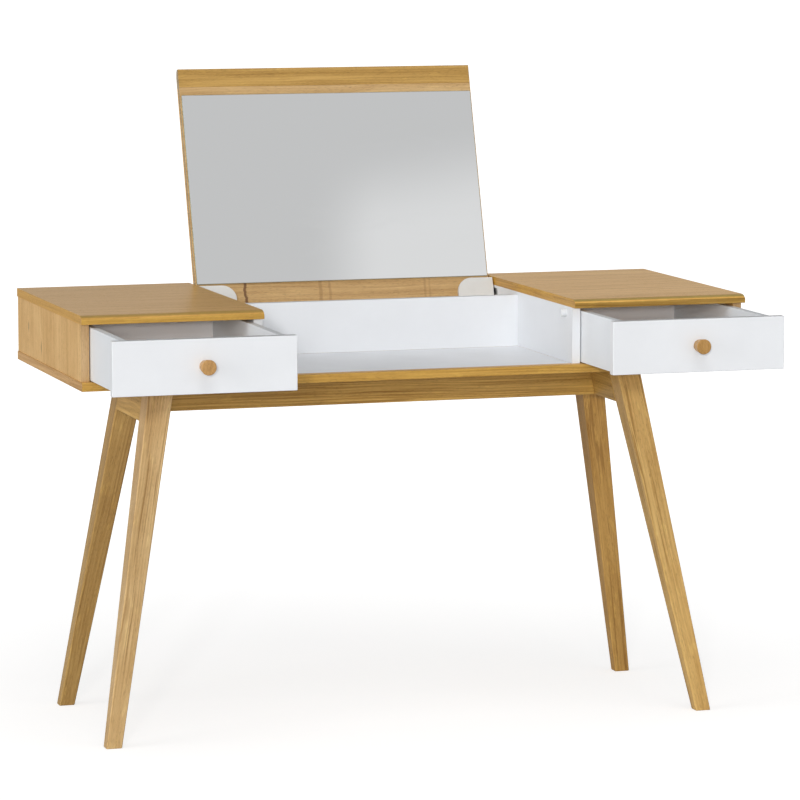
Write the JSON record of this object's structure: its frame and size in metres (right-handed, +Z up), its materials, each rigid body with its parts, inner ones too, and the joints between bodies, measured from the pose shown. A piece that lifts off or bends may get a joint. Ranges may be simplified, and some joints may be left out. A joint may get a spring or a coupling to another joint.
{
  "type": "flip top vanity table",
  "caption": "Oak dressing table with a hinged centre lid carrying a mirror over an open compartment, drawers with round knobs on either side, and tapered splayed legs.",
  "frame": {"origin": "on the floor, under the middle of the table's outline with the lid open and the drawers pulled out as stored", "axes": "+X to the right along the width, +Y to the rear, +Z up; the front with the drawers faces -Y"},
  "size_m": [1.2, 0.8283, 1.1322],
  "materials": {
    "oak_veneer": "matt oiled oak veneer",
    "solid_oak": "matt oiled solid oak",
    "white_board": "satin white coated board",
    "white_plastic": "satin",
    "mirror_glass": "polished",
    "steel": "zinc plated"
  },
  "bodies": {
    "table": {"bottom_panel": "oak_veneer", "compartment_floor": "white_board", "compartment_back": "white_board", "side_panel_left": "oak_veneer", "side_panel_right": "oak_veneer", "divider_left": "white_board", "divider_right": "white_board", "top_left": "oak_veneer", "top_right": "oak_veneer", "rear_panel_left": "oak_veneer", "rear_panel_right": "oak_veneer", "rear_rail": "oak_veneer", "lid_rest_left": "white_plastic", "lid_rest_right": "white_plastic", "hinge_plate_left": "steel", "hinge_plate_right": "steel", "hinge_pin_left": "steel", "hinge_pin_right": "steel", "hinge_screws": "steel", "drawer_glides": "white_plastic", "leg_front_left": "solid_oak", "leg_rear_left": "solid_oak", "side_rail_left": "solid_oak", "leg_front_right": "solid_oak", "leg_rear_right": "solid_oak", "side_rail_right": "solid_oak", "long_rail": "solid_oak", "frame_bolts": "steel"},
    "lid": {"lid_panel": "oak_veneer", "lid_lipping": "solid_oak", "lid_mirror": "mirror_glass", "hinge_cover_left": "white_plastic", "hinge_cover_right": "white_plastic"},
    "drawer_left": {"drawer_front_left": "white_board", "drawer_inner_side_left": "white_board", "drawer_outer_side_left": "white_board", "drawer_back_left": "white_board", "drawer_bottom_left": "white_board", "knob_left": "solid_oak", "knob_screw_left": "steel"},
    "drawer_right": {"drawer_front_right": "white_board", "drawer_inner_side_right": "white_board", "drawer_outer_side_right": "white_board", "drawer_back_right": "white_board", "drawer_bottom_right": "white_board", "knob_right": "solid_oak", "knob_screw_right": "steel"}
  },
  "joints": [
    {"name": "lid_hinge", "type": "hinge", "parent": "table", "child": "lid", "pos_m": [0, 0.25985, 0.7185], "axis": [-1, 0, 0], "range_deg": [-107, 0]},
    {"name": "drawer_left_slide", "type": "slide", "parent": "table", "child": "drawer_left", "axis": [0, -1, 0], "range_m": [-0.212, 0.088]},
    {"name": "drawer_right_slide", "type": "slide", "parent": "table", "child": "drawer_right", "axis": [0, -1, 0], "range_m": [-0.179, 0.121]}
  ]
}
